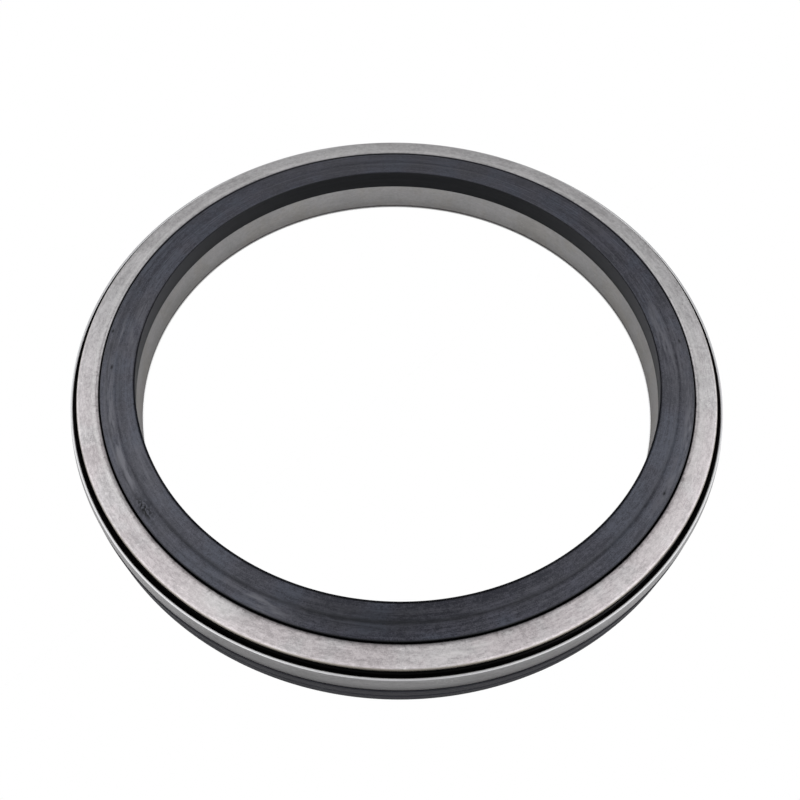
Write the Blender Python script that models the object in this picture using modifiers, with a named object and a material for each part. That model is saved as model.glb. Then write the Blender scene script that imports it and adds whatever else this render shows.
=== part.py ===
"""Rear crankshaft seal: a cassette of a wear sleeve, an outer case and the sealing element between them.

Every piece is a ring about Z, turned from a closed section. Radii are measured from the Z axis and
heights from the underside. The sleeve's flange face is on top, which is the seal's air side, and the
oil side is below.
"""

import math

import bpy
from mathutils import Matrix, Vector

# Main sizes, in metres
SHAFT_DIAMETER = 0.140
RADIAL_SECTION = 0.015
WIDTH = 0.016

# Wear sleeve
SLEEVE_SHEET = 0.0010
FLANGE_INSET = 0.0023
FLANGE_EDGE_ROLL = 0.0008
PRESSED_ROLL = 0.0011
FACE_WIDTH = 0.0069
FACE_RECESS = 0.0012
SHOULDER_FILLET = 0.0003
TUBE_BEND = 0.0020
TUBE_END_HEIGHT = 0.0004
TUBE_END_FILLET = 0.0003

# Rubber moulded on the sleeve
LINING_WALL = 0.0019
LINING_DEPTH = 0.0068
LINING_END_WALL = 0.00025
RUBBER_EDGE_FILLET = 0.00015

# Outer case
CASE_SHEET = 0.0012
RIM_DROP = 0.0016
RIM_LEAD = 0.0005
RIM_LEAD_HEIGHT = 0.0020
BAND_HEIGHT = 0.0058
CASE_STEP = 0.0013
CASE_BEND = 0.0015
CASE_LEG = 0.0042

# Rubber moulded on the case
COVER_PROUD = 0.00025
COVER_TOP_GAP = 0.0005
FOOT_RUBBER = 0.0013
LEAD_IN = 0.0012
GROOVE_HEIGHT = 0.0046
GROOVE_WIDTH = 0.0010
GROOVE_DEPTH = 0.0003

# Carrier ring of the sealing element
CARRIER_SHEET = 0.0010
CARRIER_BEND = 0.0006
LIP_ROOM = 0.0065

# Sealing element
ELEMENT_CLEARANCE = 0.0005
ELEMENT_COVER = 0.0008
ELEMENT_SKIRT = 0.0004
RIM_GROOVE = 0.0009
ELEMENT_INNER_WALL = 0.0012
WEB = 0.0008
LIP_DROP = 0.0060
AIR_ANGLE = math.radians(25)
AIR_FACE_HEIGHT = 0.0026
OIL_FACE_HEIGHT = 0.0023
FLEX_WALL = 0.0013
DUST_LIP_RISE = 0.0014
DUST_LIP_WALL = 0.0005
AXIAL_LIP_OFFSET = 0.0022
AXIAL_LIP_WALL = 0.0006

# Garter spring
SPRING_COIL_DIAMETER = 0.0022
SPRING_BACK = 0.0036
SPRING_OFFSET = 0.0004
SEAT_START = math.radians(80)
SEAT_END = math.radians(280)

# Clearances
BOND_GAP = 0.0003
LIP_CLEARANCE = 0.0003

# Facets
VISIBLE_STEPS = 60
INNER_STEPS = 48
SPRING_STEPS = 8
SEAT_STEPS = 5
SMALL_FILLET = 0.0003
FINE_ARC = math.radians(30)
EIGHTH_TURN = math.radians(45)

# Places that pieces share
TUBE_INNER = SHAFT_DIAMETER / 2
TUBE_OUTER = TUBE_INNER + SLEEVE_SHEET
JOINT = TUBE_INNER + FACE_WIDTH
STEP_OUTER = JOINT + SLEEVE_SHEET
FLANGE_UNDER = WIDTH - SLEEVE_SHEET
RECESS_FLOOR = WIDTH - FACE_RECESS
RECESS_UNDER = RECESS_FLOOR - SLEEVE_SHEET

CASE_WALL = TUBE_INNER + RADIAL_SECTION
CASE_WALL_INNER = CASE_WALL - CASE_SHEET
RIM_TOP = WIDTH - RIM_DROP
BAND_END = RIM_TOP - BAND_HEIGHT
LOWER_WALL = CASE_WALL - CASE_STEP
LOWER_WALL_INNER = LOWER_WALL - CASE_SHEET
STEP_END = BAND_END - CASE_STEP
LEG_UNDER = FOOT_RUBBER + BOND_GAP
LEG_TOP = LEG_UNDER + CASE_SHEET
LEG_END = LOWER_WALL - CASE_LEG

CARRIER_OUTER = LOWER_WALL_INNER - BOND_GAP
CARRIER_INNER = CARRIER_OUTER - CARRIER_SHEET
CARRIER_FOOT = LEG_TOP + BOND_GAP
ELEMENT_TOP = RECESS_UNDER - ELEMENT_CLEARANCE
CARRIER_TOP = ELEMENT_TOP - ELEMENT_COVER - BOND_GAP
CARRIER_UNDER = CARRIER_TOP - CARRIER_SHEET
CARRIER_END = TUBE_OUTER + LIP_ROOM

CONTACT = TUBE_OUTER + LIP_CLEARANCE
CONTACT_HEIGHT = CARRIER_UNDER - LIP_DROP
SPRING_RADIUS = CONTACT + SPRING_BACK
SPRING_HEIGHT = CONTACT_HEIGHT + SPRING_OFFSET


def arc(centre, radius, start, end, steps):
    """Points (radius, height) on an arc of a section, from angle start to angle end."""
    angles = [start + (end - start) * i / steps for i in range(steps + 1)]
    return [(centre[0] + radius * math.cos(a), centre[1] + radius * math.sin(a)) for a in angles]


def corner_arc(before, corner, after, fillet):
    """The fillet at one corner of a section, tangent to the sides that meet there."""
    here = Vector(corner)
    back = (Vector(before) - here).normalized()
    ahead = (Vector(after) - here).normalized()
    half = back.angle(ahead) / 2
    centre = here + (back + ahead).normalized() * fillet / math.sin(half)
    start = here + back * fillet / math.tan(half) - centre
    end = here + ahead * fillet / math.tan(half) - centre
    first = math.atan2(start.y, start.x)
    turn = (math.atan2(end.y, end.x) - first + math.pi) % (2 * math.pi) - math.pi
    steps = 1 if fillet <= SMALL_FILLET else max(2, round(abs(turn) / FINE_ARC))
    return arc(centre, fillet, first, first + turn, steps)


def outline(corners):
    """The closed outline of a section. Each corner is (radius, height) or (radius, height, fillet)."""
    points = []
    for i, corner in enumerate(corners):
        if len(corner) == 2:
            points.append(corner)
            continue
        after = corners[(i + 1) % len(corners)]
        points += corner_arc(corners[i - 1][:2], corner[:2], after[:2], corner[2])
    return points


def finish(name, mesh, look, parent=None):
    """Links a mesh as the named piece, shaded smooth up to its edges, with a material of its own."""
    mesh.name = name
    mesh.shade_smooth()
    mesh.set_sharp_from_angle(angle=FINE_ARC)
    piece = bpy.data.objects.new(name, mesh)
    seal.objects.link(piece)
    piece.parent = parent
    material = bpy.data.materials.new(name)
    material.use_nodes = True
    shader = material.node_tree.nodes["Principled BSDF"]
    shader.inputs["Base Color"].default_value = (*look["colour"], 1.0)
    shader.inputs["Roughness"].default_value = look["roughness"]
    shader.inputs["Metallic"].default_value = look["metallic"]
    mesh.materials.append(material)
    return piece


def turned(corners, steps):
    """The closed mesh of a section turned once about Z. Its corners run down the outer side."""
    points = outline(corners)
    section = bpy.data.meshes.new("section")
    edges = [(i, (i + 1) % len(points)) for i in range(len(points))]
    section.from_pydata([(r, 0.0, z) for r, z in points], edges, [])
    draft = bpy.data.objects.new("section", section)
    bpy.context.scene.collection.objects.link(draft)
    screw = draft.modifiers.new("Turn", "SCREW")
    screw.axis = "Z"
    screw.angle = 2 * math.pi
    screw.steps = screw.render_steps = steps
    screw.use_merge_vertices = True
    screw.merge_threshold = 0.00001
    evaluated = draft.evaluated_get(bpy.context.evaluated_depsgraph_get())
    mesh = bpy.data.meshes.new_from_object(evaluated)
    bpy.data.objects.remove(draft)
    bpy.data.meshes.remove(section)
    return mesh


def wear_sleeve_section():
    """Pressed sleeve: flange, step down under the face rubber, bend, and the tube that the lips run on."""
    flange_edge = CASE_WALL - FLANGE_INSET
    edge_roll = min(FLANGE_EDGE_ROLL, 0.95 * SLEEVE_SHEET)
    pressed_roll = min(PRESSED_ROLL, 0.95 * FACE_RECESS)
    return [
        (flange_edge, WIDTH, edge_roll),
        (flange_edge, FLANGE_UNDER),
        (STEP_OUTER, FLANGE_UNDER),
        (STEP_OUTER, RECESS_UNDER, SHOULDER_FILLET),
        (TUBE_OUTER, RECESS_UNDER, TUBE_BEND - SLEEVE_SHEET),
        (TUBE_OUTER, TUBE_END_HEIGHT, TUBE_END_FILLET),
        (TUBE_INNER, TUBE_END_HEIGHT, TUBE_END_FILLET),
        (TUBE_INNER, RECESS_FLOOR, TUBE_BEND),
        (JOINT, RECESS_FLOOR),
        (JOINT, WIDTH, pressed_roll),
    ]


def sleeve_rubber_section():
    """Face ring flush with the flange, and the lining that thins out down the bore."""
    outer = JOINT - BOND_GAP
    floor = RECESS_FLOOR + BOND_GAP
    back = TUBE_INNER - BOND_GAP
    lining_end = WIDTH - LINING_DEPTH
    return [
        (outer, WIDTH, SHOULDER_FILLET),
        (outer, floor),
        (back, floor, TUBE_BEND + BOND_GAP),
        (back, lining_end),
        (back - LINING_END_WALL, lining_end),
        (TUBE_INNER - LINING_WALL, WIDTH, RUBBER_EDGE_FILLET),
    ]


def outer_case_section():
    """Pressed shell: rim with a lead, bare band, step in under the rubber cover, leg at the oil side."""
    rise = CASE_SHEET * math.tan(EIGHTH_TURN / 2)
    return [
        (CASE_WALL - RIM_LEAD, RIM_TOP),
        (CASE_WALL, RIM_TOP - RIM_LEAD_HEIGHT),
        (CASE_WALL, BAND_END, SMALL_FILLET),
        (LOWER_WALL, STEP_END),
        (LOWER_WALL, LEG_UNDER, CASE_BEND),
        (LEG_END, LEG_UNDER),
        (LEG_END, LEG_TOP),
        (LOWER_WALL_INNER, LEG_TOP, CASE_BEND - CASE_SHEET),
        (LOWER_WALL_INNER, STEP_END + rise),
        (CASE_WALL_INNER, BAND_END + rise),
        (CASE_WALL_INNER, RIM_TOP, SMALL_FILLET),
    ]


def case_rubber_section():
    """Rubber cover on the case's lower half: sealing band, its groove, lead-in, and foot under the leg."""
    cover = CASE_WALL + COVER_PROUD
    seat = LOWER_WALL + BOND_GAP
    top = BAND_END - COVER_TOP_GAP
    slant = BOND_GAP / math.cos(EIGHTH_TURN)
    groove_floor = cover - GROOVE_DEPTH
    return [
        (cover, top, RUBBER_EDGE_FILLET),
        (cover, GROOVE_HEIGHT + GROOVE_WIDTH / 2),
        (groove_floor, GROOVE_HEIGHT + GROOVE_WIDTH / 4),
        (groove_floor, GROOVE_HEIGHT - GROOVE_WIDTH / 4),
        (cover, GROOVE_HEIGHT - GROOVE_WIDTH / 2),
        (cover, LEAD_IN),
        (cover - LEAD_IN, 0.0),
        (LEG_END, 0.0, SMALL_FILLET),
        (LEG_END, FOOT_RUBBER),
        (seat, FOOT_RUBBER, CASE_BEND + BOND_GAP),
        (seat, STEP_END + BOND_GAP - slant),
        (CASE_WALL - COVER_TOP_GAP + slant, top),
    ]


def carrier_section():
    """L-section ring that seats on the case's leg and holds the sealing element."""
    return [
        (CARRIER_OUTER, CARRIER_TOP, CARRIER_BEND + CARRIER_SHEET),
        (CARRIER_OUTER, CARRIER_FOOT),
        (CARRIER_INNER, CARRIER_FOOT),
        (CARRIER_INNER, CARRIER_UNDER, CARRIER_BEND),
        (CARRIER_END, CARRIER_UNDER),
        (CARRIER_END, CARRIER_TOP),
    ]


def spring_seat():
    """The open groove behind the main lip that holds the garter spring, from its air side down."""
    radius = SPRING_COIL_DIAMETER / 2 + BOND_GAP
    return arc((SPRING_RADIUS, SPRING_HEIGHT), radius, SEAT_START, SEAT_END, SEAT_STEPS)


def main_lip():
    """The main lip, from the back of its flexing wall, round the spring groove, to its air-side root."""
    seat = spring_seat()
    nose = CONTACT_HEIGHT - OIL_FACE_HEIGHT
    root = CARRIER_END - BOND_GAP
    air_face_top = (CONTACT + AIR_FACE_HEIGHT * math.tan(AIR_ANGLE), CONTACT_HEIGHT + AIR_FACE_HEIGHT)
    return [
        (root - WEB / 2, CARRIER_UNDER - BOND_GAP - WEB - FLEX_WALL, FLEX_WALL),
        *seat,
        (seat[-1][0], nose + SMALL_FILLET, SMALL_FILLET),
        (CONTACT + OIL_FACE_HEIGHT, nose, SMALL_FILLET),
        (CONTACT, CONTACT_HEIGHT),
        (*air_face_top, SMALL_FILLET),
        (root - ELEMENT_INNER_WALL - FLEX_WALL, CARRIER_UNDER - FLEX_WALL, 2 * FLEX_WALL),
    ]


def dust_lips():
    """The radial dust lip against the tube, then the top face with the axial lip under the flange."""
    inner = CARRIER_END - BOND_GAP - ELEMENT_INNER_WALL
    root_low = CARRIER_UNDER - BOND_GAP
    root_high = root_low + 2 * DUST_LIP_WALL
    tip = root_low + DUST_LIP_RISE
    axial = STEP_OUTER + AXIAL_LIP_OFFSET
    reach = FLANGE_UNDER - LIP_CLEARANCE
    lean = reach - ELEMENT_TOP
    return [
        (inner - WEB, root_low),
        (CONTACT, tip),
        (CONTACT + DUST_LIP_WALL / 2, tip + DUST_LIP_WALL),
        (inner, root_high),
        (inner, ELEMENT_TOP, SMALL_FILLET),
        (axial - lean - AXIAL_LIP_WALL, ELEMENT_TOP),
        (axial - AXIAL_LIP_WALL / 2, reach),
        (axial, reach),
        (axial - lean + AXIAL_LIP_WALL, ELEMENT_TOP),
    ]


def lip_rubber_section():
    """Sealing element moulded round the carrier's leg, with its lips."""
    cover_edge = CASE_WALL_INNER - RIM_GROOVE
    bend = CARRIER_BEND + CARRIER_SHEET + BOND_GAP
    skirt = CARRIER_TOP + BOND_GAP - bend - ELEMENT_SKIRT
    wrap = CARRIER_END - BOND_GAP
    under = CARRIER_UNDER - BOND_GAP
    lining = CARRIER_INNER - BOND_GAP
    return [
        (cover_edge, ELEMENT_TOP, RUBBER_EDGE_FILLET),
        (cover_edge, skirt),
        (CARRIER_OUTER + BOND_GAP, skirt),
        (CARRIER_OUTER + BOND_GAP, CARRIER_TOP + BOND_GAP, bend),
        (wrap, CARRIER_TOP + BOND_GAP),
        (wrap, under),
        (lining - CARRIER_BEND, under),
        (lining - CARRIER_BEND, under - WEB, SMALL_FILLET),
        *main_lip(),
        *dust_lips(),
    ]


def garter_spring_mesh():
    """The closed ring that the garter spring's fine coil fills."""
    bpy.ops.mesh.primitive_torus_add(
        major_segments=INNER_STEPS,
        minor_segments=SPRING_STEPS,
        major_radius=SPRING_RADIUS,
        minor_radius=SPRING_COIL_DIAMETER / 2,
        location=(0.0, 0.0, 0.0),
    )
    draft = bpy.context.active_object
    mesh = draft.data
    mesh.transform(Matrix.Translation((0.0, 0.0, SPRING_HEIGHT)))
    bpy.data.objects.remove(draft)
    return mesh


SATIN_STEEL = {"colour": (0.52, 0.51, 0.51), "roughness": 0.32, "metallic": 1.0}
DULL_STEEL = {"colour": (0.45, 0.45, 0.46), "roughness": 0.40, "metallic": 1.0}
SATIN_RUBBER = {"colour": (0.035, 0.036, 0.042), "roughness": 0.55, "metallic": 0.0}
LIP_RUBBER = {"colour": (0.020, 0.020, 0.022), "roughness": 0.60, "metallic": 0.0}

for old in list(bpy.data.objects):
    bpy.data.objects.remove(old)

seal = bpy.data.collections.new("rear_crankshaft_seal")
bpy.context.scene.collection.children.link(seal)

sleeve_axis = bpy.data.objects.new("sleeve_axis", None)
seal.objects.link(sleeve_axis)

finish("wear_sleeve", turned(wear_sleeve_section(), VISIBLE_STEPS), SATIN_STEEL, sleeve_axis)
finish("sleeve_rubber", turned(sleeve_rubber_section(), VISIBLE_STEPS), SATIN_RUBBER, sleeve_axis)
finish("outer_case", turned(outer_case_section(), VISIBLE_STEPS), SATIN_STEEL)
finish("case_rubber", turned(case_rubber_section(), VISIBLE_STEPS), SATIN_RUBBER)
finish("lip_carrier", turned(carrier_section(), INNER_STEPS), DULL_STEEL)
finish("lip_rubber", turned(lip_rubber_section(), INNER_STEPS), LIP_RUBBER)
finish("garter_spring", garter_spring_mesh(), DULL_STEEL)
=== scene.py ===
# %% [markdown]
# # Dressing a rear crankshaft seal
# A cassette seal is a stack of rings: a steel wear sleeve that is pressed on the shaft, a steel case that
# is pressed in the engine housing, rubber moulded on both, and a spring-loaded lip between them. Every ring
# is turned from one small section, so the whole lesson needs only two ideas: a section with rounded
# corners, and a formula that turns it about Z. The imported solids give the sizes, and this file makes the
# fine surfaces, the spring's coil, the finishes, the light and the camera.

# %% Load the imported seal
import math

import bpy
import numpy as np
from mathutils import Matrix, Vector


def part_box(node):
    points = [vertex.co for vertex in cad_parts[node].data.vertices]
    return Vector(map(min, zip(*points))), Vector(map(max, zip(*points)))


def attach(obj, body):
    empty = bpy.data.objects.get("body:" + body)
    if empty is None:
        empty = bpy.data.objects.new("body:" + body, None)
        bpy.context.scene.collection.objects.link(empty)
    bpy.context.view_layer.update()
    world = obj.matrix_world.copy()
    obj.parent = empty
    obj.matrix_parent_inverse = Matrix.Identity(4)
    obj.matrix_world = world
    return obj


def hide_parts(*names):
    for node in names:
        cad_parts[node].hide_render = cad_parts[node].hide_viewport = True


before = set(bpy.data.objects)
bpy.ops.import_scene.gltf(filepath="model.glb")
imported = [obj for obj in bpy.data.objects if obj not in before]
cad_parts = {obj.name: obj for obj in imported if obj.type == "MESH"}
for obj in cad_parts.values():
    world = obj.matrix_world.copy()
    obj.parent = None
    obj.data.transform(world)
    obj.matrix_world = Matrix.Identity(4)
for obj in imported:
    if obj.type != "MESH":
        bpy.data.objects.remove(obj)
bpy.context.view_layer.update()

print("solids:", ", ".join(sorted(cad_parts)))

# %% [markdown]
# ## Where the rings are
# Each solid's box tells its outer radius and its lowest and highest point. The rest of a section, such as a
# sheet's thickness or a fillet, can't be read from a box, so it is a named value here, in metres.


# %% Read the rings' places
def reach(node):
    """Outer radius, lowest and highest point of a ring, from its box."""
    low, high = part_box(node)
    return high.x, low.z, high.z


flange_edge, tube_end, face = reach("wear_sleeve")
face_joint, lining_end, _ = reach("sleeve_rubber")
case_wall, leg_under, rim_top = reach("outer_case")
cover_wall, underside, cover_top = reach("case_rubber")
carrier_wall, carrier_foot, carrier_top = reach("lip_carrier")
element_edge, _, axial_tip = reach("lip_rubber")
spring_outer, spring_low, spring_high = reach("garter_spring")

BOND_GAP = 0.0003
FACE_WIDTH = 0.0069
SLEEVE_SHEET = 0.0010
CASE_SHEET = 0.0012
tube_inner = face_joint + BOND_GAP - FACE_WIDTH
tube_outer = tube_inner + SLEEVE_SHEET
spring_coil = spring_high - spring_low
spring_ring = spring_outer - spring_coil / 2
spring_height = (spring_high + spring_low) / 2
print("shaft radius in mm:", round(1000 * tube_inner, 2), "case radius:", round(1000 * case_wall, 2))

# %% [markdown]
# ## The camera
# The picture looks down on the seal from a little over 56 degrees, from close by, with a slight tilt. A
# camera is a place and three axes, so its matrix can be written from the elevation, the distance and the
# roll alone, which is easier to adjust than a tracked target. Distances are shares of the case's radius, so
# the framing stays right if the seal gets another size.

# %% Place the camera
ELEVATION = math.radians(56.865)
DISTANCE = 2.34525
TARGET = (0.00852, -0.18918)
ROLL = math.radians(1.987)
LENS = 35.55


def camera_matrix(target, distance, elevation, roll):
    """Stands at target + distance * (0, -cos e, sin e), looks back along that line and is turned by roll."""
    back = Vector((0.0, -math.cos(elevation), math.sin(elevation)))
    up = Vector((0.0, math.sin(elevation), math.cos(elevation)))
    right = Vector((1.0, 0.0, 0.0))
    across = right * math.cos(roll) + up * math.sin(roll)
    upward = up * math.cos(roll) - right * math.sin(roll)
    turn = Matrix((across, upward, back)).transposed().to_4x4()
    return Matrix.Translation(target + distance * back) @ turn


camera = bpy.data.objects.new("camera", bpy.data.cameras.new("camera"))
camera.data.lens = LENS
camera.data.sensor_width = 36.0
camera.data.clip_start = 0.01
camera.data.clip_end = 20.0
target = Vector((TARGET[0] * case_wall, TARGET[1] * case_wall, face))
camera.matrix_world = camera_matrix(target, DISTANCE * case_wall, ELEVATION, ROLL)
bpy.context.scene.collection.objects.link(camera)
bpy.context.scene.camera = camera
print("camera at", [round(c, 4) for c in camera.location])

# %% [markdown]
# ## A section with rounded corners
# Pressed sheet and moulded rubber have no sharp edges: light catches on their fillets. A section is a short
# list of corners, each with its radius, its height and, where it is rounded, its fillet. A function puts
# the arcs in. The corners run down the outer side and up the inner side, so that the faces point outwards.

# %% Round the corners of a section
ARC_STEP = math.radians(9)


def fillet_arc(before, corner, after, fillet):
    """Points on a fillet. With sides that meet at angle 2h, the centre lies fillet / sin h along the
    bisector, and the arc runs from fillet / tan h before the corner to as far after it."""
    back = (before - corner) / np.linalg.norm(before - corner)
    ahead = (after - corner) / np.linalg.norm(after - corner)
    half = math.acos(float(np.clip(back @ ahead, -1.0, 1.0))) / 2
    middle = (back + ahead) / np.linalg.norm(back + ahead)
    centre = corner + middle * fillet / math.sin(half)
    start = corner + back * fillet / math.tan(half) - centre
    end = corner + ahead * fillet / math.tan(half) - centre
    first = math.atan2(start[1], start[0])
    sweep = (math.atan2(end[1], end[0]) - first + math.pi) % (2 * math.pi) - math.pi
    angle = first + sweep * np.linspace(0.0, 1.0, max(3, 1 + math.ceil(abs(sweep) / ARC_STEP)))
    return centre + fillet * np.stack((np.cos(angle), np.sin(angle)), axis=1)


def rounded(corners):
    """A closed section as an array of (radius, height) rows, with each corner's fillet as an arc."""
    places = [np.array(corner[:2]) for corner in corners]
    rows = []
    for i, corner in enumerate(corners):
        after = places[(i + 1) % len(places)]
        has_fillet = len(corner) > 2
        rows.append(fillet_arc(places[i - 1], places[i], after, corner[2]) if has_fillet else places[i][None])
    return np.concatenate(rows)


def arc(centre, radius, start, end, count):
    """Points at centre + radius * (cos a, sin a), with a from start to end."""
    angle = np.linspace(start, end, count)
    return [(centre[0] + radius * math.cos(a), centre[1] + radius * math.sin(a)) for a in angle]


print("a square's corner becomes", len(rounded([(1, 0, 0.1), (0, 0), (0, 1)])) - 2, "points")

# %% [markdown]
# ## Turning a section
# Spin would do it too, but a grid of two parameters is quicker and its order is known: row i is the section
# at the angle 2 pi i / steps, and each face joins two rows. The whole grid comes from one multiplication.

# %% Turn a section about Z
TURN_STEPS = 480
SHARP = math.radians(32)


def mesh_of(name, vertices, quads):
    """A smooth-shaded mesh of four-sided faces, with its sharp edges marked."""
    mesh = bpy.data.meshes.new(name)
    mesh.vertices.add(len(vertices))
    mesh.vertices.foreach_set("co", vertices.astype(np.float32).ravel())
    mesh.loops.add(quads.size)
    mesh.loops.foreach_set("vertex_index", quads.astype(np.int32).ravel())
    mesh.polygons.add(len(quads))
    mesh.polygons.foreach_set("loop_start", np.arange(0, quads.size, 4, dtype=np.int32))
    mesh.update(calc_edges=True)
    mesh.validate()
    mesh.shade_smooth()
    mesh.set_sharp_from_angle(angle=SHARP)
    piece = bpy.data.objects.new(name, mesh)
    bpy.context.scene.collection.objects.link(piece)
    print(name, "has", 2 * len(quads), "triangles")
    return piece


def grid_quads(rows, columns):
    """Faces of a grid that closes both ways: (i, j), (i, j + 1), (i + 1, j + 1), (i + 1, j)."""
    i, j = np.meshgrid(np.arange(rows), np.arange(columns), indexing="ij")
    down, along = (i + 1) % rows, (j + 1) % columns
    corners = (i * columns + j, i * columns + along, down * columns + along, down * columns + j)
    return np.stack(corners, axis=-1).reshape(-1, 4)


def turned(name, section, steps=TURN_STEPS):
    """The section (r, z) turned about Z: at angle a it lies at (r cos a, r sin a, z)."""
    angle = 2 * math.pi * np.arange(steps)[:, None] / steps
    radius, height = section[:, 0], section[:, 1]
    vertices = np.stack((radius * np.cos(angle), radius * np.sin(angle), height + 0 * angle), axis=-1)
    return mesh_of(name, vertices.reshape(-1, 3), grid_quads(steps, len(section)))


# %% [markdown]
# ## The wear sleeve
# One pressed ring of 1 mm sheet: a flat flange, a step down that leaves room for the face rubber, a wide
# bend and the tube that sits on the shaft. The blanking tool rolls the flange's upper edge over and leaves
# the lower one crisp, so the two fillets differ. That roll draws the thin bright line round the flange, and
# the softer roll at the inner edge, where the sheet was pressed down, shades the flange towards the rubber.

# %% Turn the wear sleeve
FACE_RECESS = 0.0012
SHOULDER = 0.0003
TUBE_BEND = 0.0020
EDGE_ROLL = 0.0008
PRESSED_ROLL = 0.0011
BURR = 0.00008
recess_floor = face - FACE_RECESS
recess_under = recess_floor - SLEEVE_SHEET
joint = face_joint + BOND_GAP
step_outer = joint + SLEEVE_SHEET

sleeve_section = rounded([
    (flange_edge, face, EDGE_ROLL),
    (flange_edge, face - SLEEVE_SHEET, BURR),
    (step_outer, face - SLEEVE_SHEET, 0.0002),
    (step_outer, recess_under, SHOULDER),
    (tube_outer, recess_under, TUBE_BEND - SLEEVE_SHEET),
    (tube_outer, tube_end, 0.0003),
    (tube_inner, tube_end, 0.0003),
    (tube_inner, recess_floor, TUBE_BEND),
    (joint, recess_floor, 0.0001),
    (joint, face, PRESSED_ROLL),
])
wear_sleeve = turned("wear_sleeve_fine", sleeve_section)

# %% [markdown]
# ## The face rubber
# The rubber on the sleeve fills the recess flush with the flange and runs down the bore as a lining that
# thins out. Its face isn't quite flat: the mould left a shallow crease about a third of the way out, and a
# fine parting groove at the bore's edge. Bell-shaped dips in the straight top of the section give both.

# %% Turn the face rubber
CREASE_RADIUS = 0.07275
CREASE_WIDTH = 0.00042
CREASE_DEPTH = 0.00005
PARTING_WIDTH = 0.00018
PARTING_DEPTH = 0.00030
LINING_WALL = 0.0019
LINING_EDGE = 0.00004
JOINT_LINE = 0.0001
rubber_edge = joint - JOINT_LINE
bore_edge = tube_inner - LINING_WALL
parting = bore_edge + 0.00028
lining_back = tube_inner - BOND_GAP


def bell(value, centre, width):
    """exp(-((value - centre) / width)^2): 1 at the centre and nearly 0 two widths away."""
    return np.exp(-(((value - centre) / width) ** 2))


def face_height(radius):
    """Height of the rubber's face: level, less one bell at the crease and one at the parting groove."""
    crease = CREASE_DEPTH * bell(radius, CREASE_RADIUS, CREASE_WIDTH)
    return face - crease - PARTING_DEPTH * bell(radius, parting, PARTING_WIDTH)


face_corners = rounded([
    (rubber_edge, face, 0.00015),
    (rubber_edge, recess_floor + BOND_GAP, 0.0001),
    (lining_back, recess_floor + BOND_GAP, TUBE_BEND + BOND_GAP),
    (lining_back, lining_end + LINING_EDGE),
    (lining_back - 0.0001, lining_end),
    (lining_back - 0.0002, lining_end + 0.0001),
    (bore_edge, face, 0.0001),
])
near_bore = np.linspace(bore_edge + 0.00012, bore_edge + 0.0008, 18)
face_run = np.concatenate((near_bore, np.linspace(bore_edge + 0.0010, rubber_edge - 0.0003, 46)))
face_section = np.concatenate((face_corners, np.stack((face_run, face_height(face_run)), axis=1)))
sleeve_rubber = turned("sleeve_rubber_fine", face_section)

# %% [markdown]
# ## The outer case
# A deep-drawn shell: its free rim is trimmed flat, with a steep lead outside that guides it into the
# housing, the bare band below it is pressed in there, and below the band the wall steps in to leave room
# for the rubber.

# %% Turn the case
BAND_HEIGHT = 0.0058
CASE_STEP = 0.0013
CASE_LEG = 0.0042
CASE_BEND = 0.0015
RIM_LEAD = 0.0006
RIM_LEAD_HEIGHT = 0.0020
band_end = rim_top - BAND_HEIGHT
lower_wall = case_wall - CASE_STEP
leg_top = leg_under + CASE_SHEET
leg_end = lower_wall - CASE_LEG
step_end = band_end - CASE_STEP
rise = CASE_SHEET * math.tan(math.pi / 8)
inner_wall = case_wall - CASE_SHEET

case_section = rounded([
    (case_wall - RIM_LEAD, rim_top, 0.00015),
    (case_wall, rim_top - RIM_LEAD_HEIGHT, 0.0020),
    (case_wall, band_end, 0.0004),
    (lower_wall, step_end, 0.0004),
    (lower_wall, leg_under, CASE_BEND),
    (leg_end, leg_under, 0.0002),
    (leg_end, leg_top, 0.0002),
    (lower_wall - CASE_SHEET, leg_top, CASE_BEND - CASE_SHEET),
    (lower_wall - CASE_SHEET, step_end + rise, 0.0004),
    (inner_wall, band_end + rise, 0.0004),
    (inner_wall, rim_top, 0.00030),
])
outer_case = turned("outer_case_fine", case_section)

# %% [markdown]
# ## The rubber cover
# It is ground on the outside, where it seals in the housing, with a fine groove round it and a slanted
# lead-in below. Underneath it turns in under the case's leg as the flat foot.

# %% Turn the rubber cover
FOOT_RUBBER = 0.0013
LEAD_IN = 0.0012
GROOVE_HEIGHT = 0.0046
GROOVE_WIDTH = 0.0010
GROOVE_DEPTH = 0.0003
COVER_GAP = 0.0005
slant = BOND_GAP / math.cos(math.pi / 4)
seat = lower_wall + BOND_GAP

cover_section = rounded([
    (cover_wall, cover_top, 0.0002),
    (cover_wall, GROOVE_HEIGHT + GROOVE_WIDTH / 2, 0.00008),
    (cover_wall - GROOVE_DEPTH, GROOVE_HEIGHT + GROOVE_WIDTH / 4, 0.00008),
    (cover_wall - GROOVE_DEPTH, GROOVE_HEIGHT - GROOVE_WIDTH / 4, 0.00008),
    (cover_wall, GROOVE_HEIGHT - GROOVE_WIDTH / 2, 0.00008),
    (cover_wall, LEAD_IN, 0.0003),
    (cover_wall - LEAD_IN, underside, 0.0003),
    (leg_end, underside, 0.0003),
    (leg_end, FOOT_RUBBER, 0.0002),
    (seat, FOOT_RUBBER, CASE_BEND + BOND_GAP),
    (seat, step_end + BOND_GAP - slant, 0.0003),
    (case_wall - COVER_GAP + slant, cover_top, 0.00005),
])
case_rubber = turned("case_rubber_fine", cover_section)

# %% [markdown]
# ## The carrier and the sealing element
# The carrier is a small L of sheet. The element is moulded round its leg: a skirt in the case's rim, an
# inclined lip that leans on the flange's underside, a dust lip and the main lip on the tube, with a seat
# behind the main lip for the garter spring. Its corners follow the moulded section once round.

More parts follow.
